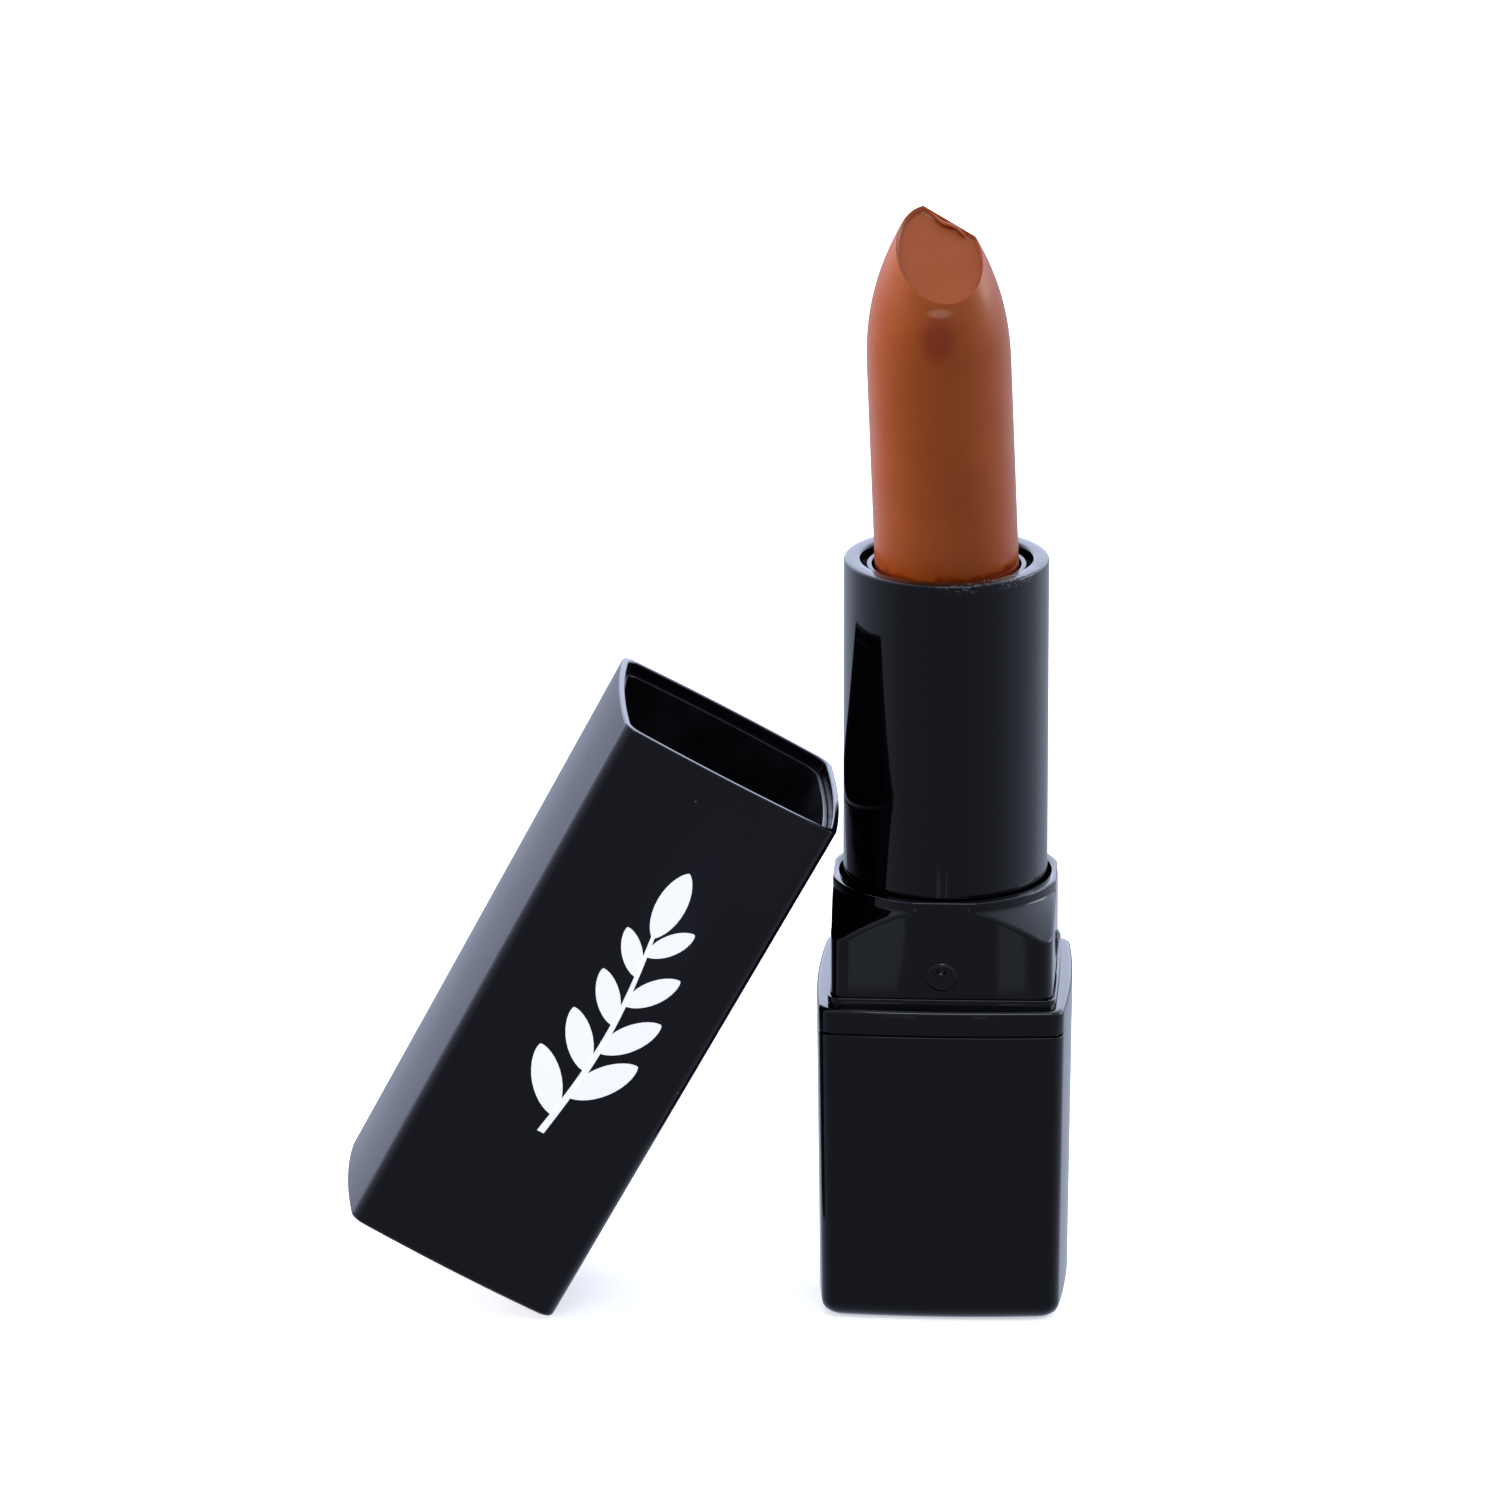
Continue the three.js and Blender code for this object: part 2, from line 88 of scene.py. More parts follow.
# Neck.
TUBE_RADIUS = 8.55 * MM
NECK_HALF = 9.34 * MM
NECK_BULGE = 0.12 * MM
NECK_BORE = TUBE_RADIUS + 0.31 * MM
NECK_LOWER_BORE = 9.12 * MM
NECK_CORNER = 1.2 * MM
RIM_RADIUS = 9.7 * MM
RIM_HEIGHT = 0.75 * MM
RIM_EDGE = 0.16 * MM
SHOULDER_SLOPE = 0.9
SHOULDER_REACH = 4 * MM
SHOULDER_STEPS = 48
SHOULDER_EASE = 0.12 * MM
SHOULDER_SOFT = 0.14 * MM
SHOULDER_START = 0.5 * MM
RIM_SETTLE = 0.1 * MM
FLANGE_GAP = 0.3 * MM
BUMP_RADIUS = 1.25 * MM
BUMP_FOOT = BUMP_RADIUS * 1.12
BUMP_PROUD = 0.25 * MM
BUMP_RISE = 2.7 * MM
BUMP_STEPS = 8
BUMP_ROUND_STEPS = 40
DIMPLE_RADIUS = 0.4 * MM
DIMPLE_FLOOR = DIMPLE_RADIUS * 0.8
DIMPLE_DEPTH = 0.16 * MM
DIMPLE_RISE = 0.9 * MM

# Tube, cup and bullet.
FLANGE_RADIUS = 9 * MM
FLANGE_HEIGHT = 1 * MM
TUBE_INNER = 7.99 * MM
LIP_RADIUS = 7.18 * MM
LIP_HEIGHT = 0.9 * MM
TUBE_EDGE = 0.22 * MM
TUBE_EDGE_ZONE = 0.5 * MM
CUP_RADIUS = 6.7 * MM
CUP_INNER = 6.2 * MM
CUP_FLOOR = 0.8 * MM
CUP_EDGE = 0.14 * MM
BULLET_RADIUS = 6 * MM
BULLET_HEIGHT = 32.85 * MM
NOSE_HEIGHT = 16.15 * MM
BULLET_ROOT = 9 * MM
NOSE_FULLNESS = 2.24
NOSE_BLUNTNESS = 0.92
NOSE_STEPS = 26
BULLET_LEAN = math.radians(2.34)
CUT_TILT = math.radians(42.5)
CUT_TURN = math.radians(15.4)
CUT_HEIGHT = 20.6 * MM
CUT_RING = 0.07 * MM
# From the rim inwards: how far each ring drops, and how deep its painted crease shade is.
CUT_RINGS = ((0.16 * MM, 0.3), (0.12 * MM, 1), (0.07 * MM, 1), (0.02 * MM, 0.7), (0, 0.1))
NICK_TURN = math.radians(43.3)
NICK_REACH = 15.53 * MM
CURL_START = 10.5 * MM
CURL_LENGTH = 3.7 * MM
CURL_INSET = 0.38 * MM
CURL_SWAY = 0.12 * MM
CURL_HALF_WAVES = 3
CURL_FULLNESS = 0.6
CURL_RADIUS = 0.17 * MM
CURL_SIDES = 8
CURL_STEPS = 18
# How nearly a face looks along a direction to be taken as the cut.
FACING = 0.99

# Cap, in its own frame: closed end at height 0, mouth up.
CAP_LENGTH = 48.98 * MM
CAP_HALF = 10.45 * MM
CAP_DRAFT = 0.44 * MM
CAP_EDGE = 0.45 * MM
CAP_WALL = 0.56 * MM
CAP_END = 1.2 * MM
MOUTH_EDGE = 0.14 * MM
LINER_WALL = 0.4 * MM
LINER_SINK = 1 * MM
CORNER = 1 * MM
INNER_CORNER = 0.6 * MM

# Printed sprig, on the cap's front.
SPRIG_MIDDLE = 0.7 * MM
SPRIG_FOOT = 14.5 * MM
STEM_LENGTH = 20 * MM
STEM_WIDTH = 0.62 * MM
STEM_SWAY = 0.9 * MM
STEM_STEPS = 24
STEM_TAPER = 0.5
LEAF_PAIRS = 4
FIRST_PAIR = 0.6
PAIR_PITCH = 1 / (LEAF_PAIRS + 0.3)
PAIR_STAGGER = 0.05
TIP_LEAF = 0.97
LEAF_SHRINK = 0.1
LEAF_ANGLE = math.radians(38)
LEAF_LENGTH = 6.4 * MM
LEAF_WIDTH = 2.5 * MM
LEAF_SIDES = 32
LEAF_POINT = 0.4
PRINT_PROUD = 0.03 * MM
PRINT_SINK = 0.06 * MM

# Colours and gloss.
MOULDED_IOR = 1.5
JET = (0.0008, 0.0009, 0.0012)
CAP_JET = (0.0036, 0.0018, 0.0046)
CUP_JET = (0.002, 0.002, 0.0024)
DUST = (0.35, 0.35, 0.38, 1)
SPECK_SCALE = 640
SPECK_RARITY = (0.95, 0.96)
RUBBED = (0.3, 0.3, 0.33, 1)
RUBBED_RIM = (TUBE_TOP - 0.9 * MM, TUBE_TOP - 0.15 * MM)
RUBBED_SIDE = (-1 * MM, 3 * MM)
RUBBED_FRONT = (2 * MM, -3 * MM)
WAX_IOR = 1.45
WAX_LOW = (0.375, 0.068, 0.006, 1)
WAX_HIGH = (0.415, 0.08, 0.009, 1)
# Painted shade in a spot below the cut.
WAX_PAINTED_SHADE = (0.24, 0.017, 0.002, 1)
# Painted highlight in a spot under the cut's rim.
WAX_PAINTED_HIGHLIGHT = (0.62, 0.26, 0.14, 1)
# Painted shade in the cut's crease.
WAX_PAINTED_CREASE_SHADE = (0.26, 0.03, 0.001, 1)
# Darker foot band: partly a real smear of wax, partly painted shade and reflection of the cup rim.
WAX_SMEAR_AND_SHADE = (0.2, 0.016, 0.001, 1)
WAX_SHEEN = (1, 0.84, 0.66, 1)
# Where the painted shade below the cut and the painted highlight under its rim lie.
SHADE_SPOT = (-0.6 * MM, -5.6 * MM, TUBE_TOP + 20.3 * MM)
SHADE_SPOT_SIZE = (2 * MM, 2.5 * MM, 2.6 * MM)
HIGHLIGHT_SPOT = (-0.45 * MM, -5.6 * MM, TUBE_TOP + 22.5 * MM)
HIGHLIGHT_SPOT_SIZE = (1.4 * MM, 2 * MM, 0.5 * MM)
SMEAR_AND_SHADE_WANDER = 2.2 * MM
SMEAR_AND_SHADE_BAND = (CUP_TOP - 1 * MM, CUP_TOP - 0.4 * MM)

# Camera.
CAMERA_DISTANCE = 1312.8 * MM
CAMERA_RISE = math.radians(17.558)
CAMERA_TURN = math.radians(2.559)
CAMERA_TARGET = (-16.36 * MM, 0, 46.722 * MM)
CAMERA_LENS = 377.3

# Light, as stops of (place, brightness) from the front at 0 to the back at 1.
LIGHT_BELOW = [
    (0, 0.22), (0.125, 0.24), (0.3, 0.33), (0.5, 0.5), (0.6, 0.58),
    (0.72, 0.68), (0.84, 0.8), (0.93, 0.64), (1, 0.42),
]
LIGHT_ABOVE = [(0, 0.35), (0.3, 0.5), (0.5, 0.9), (0.85, 2.2), (1, 2.4)]
HORIZON_BAND = (-0.05, 0.15)
STUDIO_TINT = (0.9, 1, 1.3, 1)
WHITE = (1, 1, 1, 1)
WARM = (1, 0.97, 0.93)
COOL = (0.95, 0.98, 1)
LAMP_TARGET = Vector((0, 0, 0.07))
FLOOR_HALF = 3
FLOOR_GLOW = 0.55
CARD_DEPTH = 32 * MM
CARD_MIDDLE = -111 * MM
CARD_HEIGHT = 0.2 * MM
CARD_GLOW = 0.46


# ---- Mesh helpers ----

def unit_square(corner_share):
    """The outline of a square of half-width 1 with round corners. Each point keeps its unit place."""
    bm = bmesh.new()
    bmesh.ops.create_grid(bm, x_segments=1, y_segments=1, size=1)
    bmesh.ops.bevel(
        bm, geom=list(bm.verts), offset=corner_share, offset_type="OFFSET",
        segments=CORNER_STEPS, profile=0.5, affect="VERTICES", material=-1,
    )
    sides = [e for e in bm.edges if e.calc_length() > 1]
    bmesh.ops.subdivide_edges(bm, edges=sides, cuts=SIDE_CUTS)
    bmesh.ops.delete(bm, geom=list(bm.faces), context="FACES_ONLY")
    unit = bm.verts.layers.float_vector.new("unit")
    for v in bm.verts:
        v[unit] = v.co
    return bm


def soft_min(a, b, softness):
    """The smaller of two lengths, rounded where they meet."""
    if softness <= 0:
        return min(a, b)
    blend = max(softness - abs(a - b), 0) / softness
    return min(a, b) - blend * blend * softness / 4


def put(v, unit, height, half, bulge, radius=None, softness=0):
    """Places a point of the unit square on a bowed square, cut back to a circle of that radius."""
    side = half - bulge
    x = unit.x * (side + bulge * (1 - unit.y * unit.y))
    y = unit.y * (side + bulge * (1 - unit.x * unit.x))
    if radius is not None:
        reach = math.hypot(x, y)
        scale = soft_min(reach, radius, softness) / reach
        x *= scale
        y *= scale
    v.co = (x, y, height)


def loft(bm, levels, closed=False):
    """Draws the open outline up through levels of (height, half-width, bulge, ...), then shuts its ends."""
    unit = bm.verts.layers.float_vector["unit"]
    for v in bm.verts:
        put(v, v[unit], *levels[0])
    first = list(bm.edges)
    loop = first
    for level in levels[1:]:
        made = bmesh.ops.extrude_edge_only(bm, edges=loop)["geom"]
        loop = [g for g in made if isinstance(g, bmesh.types.BMEdge)]
        for v in (g for g in made if isinstance(g, bmesh.types.BMVert)):
            put(v, v[unit], *level)
        loop = [e for e in loop if e.is_boundary and not e.is_wire]
    if closed:
        bmesh.ops.bridge_loops(bm, edges=first + loop)
    else:
        bmesh.ops.contextual_create(bm, geom=first)
        bmesh.ops.contextual_create(bm, geom=loop)
    return bm


def rounding(height, half, bulge, radius, quarter):
    """Levels of a quarter-round edge. quarter says which: outer_low, outer_top, inner_top or inner_low."""
    levels = []
    for i in range(EDGE_STEPS + 1):
        angle = i / EDGE_STEPS * math.pi / 2
        if quarter == "outer_low":
            level = (height + radius * (1 - math.cos(angle)), half - radius * (1 - math.sin(angle)))
        elif quarter == "outer_top":
            level = (height - radius * (1 - math.sin(angle)), half - radius * (1 - math.cos(angle)))
        elif quarter == "inner_top":
            level = (height - radius * (1 - math.cos(angle)), half + radius * (1 - math.sin(angle)))
        else:
            level = (height + radius * (1 - math.sin(angle)), half - radius * (1 - math.cos(angle)))
        levels.append((*level, bulge))
    return levels


def spun(profile, steps=ROUND_STEPS, ring=False):
    """Turns a line of (radius, height) points round the upright axis."""
    bm = bmesh.new()
    points = [bm.verts.new((radius, 0, height)) for radius, height in profile]
    for a, b in zip(points, points[1:]):
        bm.edges.new((a, b))
    if ring:
        bm.edges.new((points[-1], points[0]))
    bmesh.ops.spin(
        bm, geom=list(bm.verts) + list(bm.edges), cent=(0, 0, 0), axis=(0, 0, 1),
        angle=2 * math.pi, steps=steps, use_merge=True,
    )
    bmesh.ops.remove_doubles(bm, verts=list(bm.verts), dist=WELD)
    return bm


def soften(bm, width, segments, above=-math.inf):
    """Rounds the sharp edges that lie wholly above a height."""
    edges = [
        e for e in bm.edges
        if len(e.link_faces) == 2 and e.calc_face_angle(0) > SHARP_EDGE
        and min(v.co.z for v in e.verts) > above
    ]
    bmesh.ops.bevel(
        bm, geom=edges, offset=width, offset_type="OFFSET", segments=segments,
        profile=0.5, affect="EDGES", clamp_overlap=True, material=-1,
    )


def absorb(bm, other):
    """Moves another bmesh into bm."""
    mesh = bpy.data.meshes.new("part")
    other.to_mesh(mesh)
    other.free()
    bm.from_mesh(mesh)
    bpy.data.meshes.remove(mesh)


def place_object(name, bm, material):
    """Turns a bmesh into an object in the scene."""
    mesh = bpy.data.meshes.new(name)
    bm.to_mesh(mesh)
    bm.free()
    mesh.materials.append(material)
    made = bpy.data.objects.new(name, mesh)
    bpy.context.scene.collection.objects.link(made)
    return made


def make(name, bm, material, body, replaces=(), matrix=None, flat=False, sharp=50):
    """Turns a bmesh into a finished piece that rides on a body. sharp is the angle past which edges show."""
    if matrix is not None:
        bmesh.ops.transform(bm, matrix=matrix, verts=list(bm.verts))
    bmesh.ops.recalc_face_normals(bm, faces=list(bm.faces))
    piece = place_object(name, bm, material)
    piece.data.shade_smooth()
    piece.data.set_sharp_from_angle(angle=math.radians(sharp))
    if not flat:
        weighted = piece.modifiers.new("even_normals", "WEIGHTED_NORMAL")
        weighted.keep_sharp = True
        weighted.weight = 80
    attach(piece, body)
    if replaces:
        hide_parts(*replaces)


# ---- Material helpers ----

class Nodes:
    """Adds nodes to a material or a world and links them, so that each reads as a short recipe."""

    def __init__(self, owner, shader, coordinates):
        owner.use_nodes = True
        self.tree = owner.node_tree
        self.shader = self.tree.nodes[shader]
        self.place = self.add("ShaderNodeTexCoord").outputs[coordinates]

    def add(self, kind, inputs=None, **settings):
        node = self.tree.nodes.new(kind)
        for key, value in settings.items():
            setattr(node, key, value)
        for key, value in (inputs or {}).items():
            self.join(value, node.inputs[key])
        return node

    def join(self, value, socket):
        if isinstance(value, bpy.types.NodeSocket):
            self.tree.links.new(value, socket)
        else:
            socket.default_value = value

    def noise(self, scale, detail=3, roughness=0.5, stretch=None):
        place = self.place
        if stretch is not None:
            place = self.add("ShaderNodeMapping", {"Vector": place, "Scale": stretch}).outputs[0]
        inputs = {"Vector": place, "Scale": scale, "Detail": detail, "Roughness": roughness}
        return self.add("ShaderNodeTexNoise", inputs).outputs["Fac"]

    def span(self, value, low, high, to_low, to_high):
        """Maps a value's range onto another, smoothly and held at its ends."""
        names = ("From Min", "From Max", "To Min", "To Max")
        inputs = dict(zip(names, (low, high, to_low, to_high)), Value=value)
        return self.add("ShaderNodeMapRange", inputs, interpolation_type="SMOOTHSTEP").outputs[0]

    def math(self, operation, a, b):
        return self.add("ShaderNodeMath", {0: a, 1: b}, operation=operation).outputs[0]

    def mix(self, share, a, b, blend="MIX"):
        node = self.add("ShaderNodeMix", data_type="RGBA", blend_type=blend)
        for index, value in ((0, share), (6, a), (7, b)):
            self.join(value, node.inputs[index])
        return node.outputs[2]

    def ramp(self, value, stops):
        """Maps a value from -1 to 1 through stops of (place, brightness)."""
        share = self.add("ShaderNodeMath", {0: value, 1: 0.5, 2: 0.5}, operation="MULTIPLY_ADD")
        node = self.add("ShaderNodeValToRGB", {0: share.outputs[0]})
        elements = node.color_ramp.elements
        while len(elements) < len(stops):
            elements.new(0.5)
        for element, (position, bright) in zip(elements, stops):
            element.position = position
            element.color = (bright, bright, bright, 1)
        return node.outputs[0]

    def specks(self, size, seed=0):
        """A mask of small scattered dots: 1 in a dot."""
        place = self.add("ShaderNodeMapping", {"Vector": self.place, "Location": (seed, seed, seed)})
        dots = self.add("ShaderNodeTexVoronoi", {"Vector": place.outputs[0], "Scale": SPECK_SCALE})
        chosen = self.add("ShaderNodeSeparateColor", {"Color": dots.outputs["Color"]})
        near = self.span(dots.outputs["Distance"], size / 2, size, 1, 0)
        rare = self.span(chosen.outputs[0], *SPECK_RARITY, 0, 1)
        return self.math("MULTIPLY", near, rare)

    def blot(self, centre, size):
        """A soft-edged spot: 1 in its middle and 0 beyond its size along x, y and z."""
        away = self.add("ShaderNodeVectorMath", {0: self.place, 1: centre}, operation="SUBTRACT")
        scaled = self.add("ShaderNodeVectorMath", {0: away.outputs[0], 1: size}, operation="DIVIDE")
        reach = self.add("ShaderNodeVectorMath", {0: scaled.outputs[0]}, operation="LENGTH")
        return self.span(reach.outputs["Value"], 0.35, 1, 1, 0)

    def bump(self, height, strength, distance, under=None):
        inputs = {"Height": height, "Strength": strength, "Distance": distance}
        if under is not None:
            inputs["Normal"] = under
        return self.add("ShaderNodeBump", inputs).outputs[0]

    def set(self, **values):
        for key, value in values.items():
            self.join(value, self.shader.inputs[key.replace("_", " ")])


def new_finish(name):
    """A new material, and its nodes."""
    material = bpy.data.materials.new(name)
    return material, Nodes(material, "Principled BSDF", "Object")


def gloss_black(name, colour, gloss, haze, dust=0.6):
    """Polished black moulding: faint ripple, hairlines, a little dust."""
    material, n = new_finish(name)
    ripple = n.noise(120, 2)
    hair = n.noise(900, 2, 0.6, stretch=(1, 1, 0.12))
    wiped = n.noise(70, 4, 0.6)
    dots = n.specks(0.07)
    fleck = n.math("MULTIPLY", dots, dust)
    n.set(Base_Color=n.mix(fleck, (*colour, 1), DUST), IOR=MOULDED_IOR)
    smooth = n.span(wiped, 0.35, 0.75, gloss, haze)
    scratched = n.span(hair, 0.66, 0.74, 0, 0.06)
    n.set(Roughness=n.math("ADD", smooth, n.math("ADD", scratched, n.math("MULTIPLY", dots, 0.3))))
    waves = n.bump(ripple, 0.04, 0.4 * MM)
    n.set(Normal=n.bump(dots, 0.4, 0.02 * MM, waves))
    return material


def tube_black():
    """The tube's gloss, with its rim rubbed by the cap on the front right."""
    material, n = new_finish("tube_black")
    split = n.add("ShaderNodeSeparateXYZ", {"Vector": n.place})
    rim = n.span(split.outputs[2], *RUBBED_RIM, 0, 1)
    side = n.span(split.outputs[0], *RUBBED_SIDE, 0, 1)
    front = n.span(split.outputs[1], *RUBBED_FRONT, 0, 1)
    where = n.math("MULTIPLY", rim, n.math("MULTIPLY", side, front))
    grit = n.span(n.noise(3800, 3, 0.7), 0.53, 0.6, 0, 1)
    patch = n.span(n.noise(500, 2), 0.42, 0.56, 0, 1)
    worn = n.math("MULTIPLY", where, n.math("MULTIPLY", grit, patch))
    dots = n.specks(0.06, seed=3)
    pale = n.math("MAXIMUM", n.math("MULTIPLY", worn, 0.5), n.math("MULTIPLY", dots, 0.5))
    n.set(Base_Color=n.mix(pale, (*JET, 1), RUBBED), IOR=MOULDED_IOR)
    wiped = n.span(n.noise(60, 4, 0.6, stretch=(1, 1, 0.35)), 0.35, 0.75, 0.03, 0.1)
    n.set(Roughness=n.math("ADD", wiped, n.math("MULTIPLY", worn, 0.3)))
    ripple = n.bump(n.noise(110, 2), 0.05, 0.4 * MM)
    n.set(Normal=n.bump(worn, 0.5, 0.03 * MM, ripple))
    return material


def lip_wax():
    """Satin moulded wax: soft mottling, painted shade in its crease, a painted highlight and a painted
    shaded spot below the cut, and a darker band where it leaves the cup, partly a real smear and partly
    painted shade and reflection of the cup rim.
    """
    material, n = new_finish("lip_wax")
    height = n.add("ShaderNodeSeparateXYZ", {"Vector": n.place}).outputs[2]
    mottle = n.span(n.noise(160, 4, 0.55), 0.35, 0.7, 0, 1)
    body = n.mix(mottle, WAX_LOW, WAX_HIGH)
    # Painted shade: a deep red spot below the cut, where the nose faces the dim front.
    body = n.mix(n.math("MULTIPLY", n.blot(SHADE_SPOT, SHADE_SPOT_SIZE), 0.6), body, WAX_PAINTED_SHADE)
    # Painted highlight: a pale spot under the cut's rim, where a lamp would glint.
    body = n.mix(n.math("MULTIPLY", n.blot(HIGHLIGHT_SPOT, HIGHLIGHT_SPOT_SIZE), 0.5), body, WAX_PAINTED_HIGHLIGHT)
    # Painted shade: the cut's crease is coloured darker, where shade falls in it.
    crease_shade = n.add("ShaderNodeAttribute", attribute_name="crease_shade").outputs["Fac"]
    body = n.mix(n.math("MULTIPLY", crease_shade, 0.8), body, WAX_PAINTED_CREASE_SHADE)
    # Darker band at the foot: partly a real smear of wax, partly painted shade and reflection of the dark
    # cup rim.
    edge = n.math("SUBTRACT", height, n.math("MULTIPLY", n.noise(330, 3), SMEAR_AND_SHADE_WANDER))
    foot = n.span(edge, *SMEAR_AND_SHADE_BAND, 1, 0)
    n.set(Base_Color=n.mix(n.math("MULTIPLY", foot, 0.85), body, WAX_SMEAR_AND_SHADE))
    rough = n.span(n.noise(300, 4, 0.6), 0.3, 0.7, 0.27, 0.38)
    n.set(Roughness=n.math("SUBTRACT", rough, n.math("MULTIPLY", foot, 0.12)))
    grain = n.bump(n.noise(1400, 3), 0.05, 0.05 * MM)
    n.set(Normal=n.bump(n.noise(220, 3), 0.1, 0.15 * MM, grain))
    n.set(IOR=WAX_IOR, Specular_IOR_Level=0.65, Specular_Tint=WAX_SHEEN)
    n.set(Subsurface_Weight=0.06, Subsurface_Radius=(1, 0.3, 0.15), Subsurface_Scale=0.8 * MM)
    return material


def plain_finish(name, colour, low, high, scale, metallic=0, stretch=None, tone=0.75, glow=0):
    """A moulded, turned or printed surface with roughness and tone that wander; glow makes it shine as
    painted light.
    """
    material, n = new_finish(name)
    grain = n.noise(scale, 4, 0.6, stretch=stretch)
    darker = tuple(c * tone for c in colour)
    n.set(Base_Color=n.mix(n.span(grain, 0.3, 0.7, 0, 1), (*darker, 1), (*colour, 1)))
    n.set(Roughness=n.span(grain, 0.3, 0.7, low, high))
    n.set(Normal=n.bump(grain, 0.15, 0.04 * MM), Metallic=metallic)
    # Emission here is painted light, not a lamp.
    n.set(Emission_Color=WHITE, Emission_Strength=glow)
    return material


BLACK = gloss_black("polished_black", JET, 0.03, 0.08)
CAP_BLACK = gloss_black("satin_black_cap", CAP_JET, 0.14, 0.22)
TUBE_BLACK = tube_black()
CUP_BLACK = gloss_black("cup_black", CUP_JET, 0.08, 0.16, 0.1)
INNER_BLACK = plain_finish("inner_black", (0.004, 0.003, 0.005), 0.25, 0.45, scale=200)
STEEL = plain_finish(
    "turned_steel", (0.42, 0.43, 0.45), 0.25, 0.5, scale=600, metallic=1, stretch=(0.1, 0.1, 1),
)
RUBBER = plain_finish("greased_rubber", (0.02, 0.02, 0.02), 0.35, 0.7, scale=900)
PAPER = plain_finish("label_paper", (0.78, 0.78, 0.76), 0.4, 0.6, scale=1200)
# The print's glow is painted light: the white ink shines brighter than the lamps make it.
GLOWING_PRINT = plain_finish("white_print_painted_glow", (0.95, 0.95, 0.95), 0.4, 0.55, scale=1500, tone=0.96, glow=0.5)
WAX = lip_wax()


# ---- The base ----

def base_shell():
    bottom_half = CASE_HALF - BASE_DRAFT
    cavity = CASE_HALF - BASE_WALL
    levels = rounding(0, bottom_half, SIDE_BULGE, BASE_EDGE, "outer_low")
    levels += rounding(BASE_TOP, CASE_HALF, SIDE_BULGE, FINE_EDGE, "outer_top")
    levels += rounding(BASE_TOP, cavity, CAVITY_BULGE, FINE_EDGE, "inner_top")
    levels += rounding(BASE_FLOOR, cavity, CAVITY_BULGE, INNER_CORNER, "inner_low")
    make("base_case", loft(unit_square(CORNER / CASE_HALF), levels), BLACK, "base",
         ["base_shell"])


def base_collar():
    """The ring above the seam, and the low square foot that stands up from it round the neck."""
    low = BASE_TOP + SEAM_HEIGHT
    seam_half = CASE_HALF - SEAM_DEPTH
    hole_half = NECK_HALF + FIT
    foot_half = hole_half + FOOT_WALL
    foot_top = COLLAR_TOP + FOOT_HEIGHT
    ledge = COLLAR_TOP + FOOT_LEDGE
    groove_half = foot_half - FOOT_GROOVE
    levels = [
        (BASE_TOP, hole_half, NECK_BULGE),
        (BASE_TOP, seam_half, SIDE_BULGE),
        (low, seam_half, SIDE_BULGE),
    ]
    levels += rounding(low, CASE_HALF, SIDE_BULGE, FINE_EDGE, "outer_low")
    levels += rounding(COLLAR_TOP, CASE_HALF, SIDE_BULGE, COLLAR_EDGE, "outer_top")
    levels += [
        (COLLAR_TOP, groove_half, NECK_BULGE),
        (ledge, groove_half, NECK_BULGE),
        (ledge + FINE_EDGE / 2, foot_half, NECK_BULGE),
    ]
    levels += rounding(foot_top, foot_half, NECK_BULGE, FINE_EDGE, "outer_top")
    levels.append((foot_top, hole_half, NECK_BULGE))
    make("collar", loft(unit_square(CORNER / CASE_HALF), levels, closed=True), BLACK, "base",
         ["base_collar"])


def neck_bump():
    """A shallow dome along +Z with a soft foot, and a small moulding dimple above its middle."""
    profile = [(BUMP_FOOT, -FIT)]
    for i in range(BUMP_STEPS):
        angle = i / BUMP_STEPS * math.pi / 2
        point = (BUMP_RADIUS * math.cos(angle), BUMP_PROUD * math.sin(angle))
        if point[0] > DIMPLE_RADIUS:
            profile.append(point)
    floor_height = BUMP_PROUD - DIMPLE_DEPTH
    profile += [(DIMPLE_RADIUS, BUMP_PROUD), (DIMPLE_FLOOR, floor_height), (0, floor_height)]
    bm = spun(profile, BUMP_ROUND_STEPS)
    for v in bm.verts:
        v.co.y += DIMPLE_RISE * max(0, 1 - math.hypot(v.co.x, v.co.y) / BUMP_RADIUS)
    return bm


def soft_out(out):
    """How far the shoulder stands out, eased in where it leaves the rim."""
    return max(0, out - SHOULDER_EASE * (1 - math.exp(-out / SHOULDER_EASE)))


def neck_shoulder(low, top, square):
    """Levels where a cone cuts the square's corners back to the round rim."""
    levels = [(low - SHOULDER_START, *square)]
    for i in range(SHOULDER_STEPS + 1):
        share = i / SHOULDER_STEPS
        radius = RIM_RADIUS + soft_out((1 - share) * SHOULDER_REACH)
        levels.append((low + share * (top - low), *square, radius, SHOULDER_SOFT))
    levels.append((top + RIM_SETTLE, *square, RIM_RADIUS, SHOULDER_SOFT / 2))
    return levels


def neck_rim():
    """Levels of the rounded edge round the neck's top."""
    levels = []
    for i in range(EDGE_STEPS + 1):
        angle = i / EDGE_STEPS * math.pi / 2
        inset = RIM_EDGE * (1 - math.cos(angle))
        height = NECK_TOP - RIM_EDGE * (1 - math.sin(angle))
        levels.append((height, NECK_HALF - inset, NECK_BULGE, RIM_RADIUS - inset, SHOULDER_SOFT / 2))
    return levels


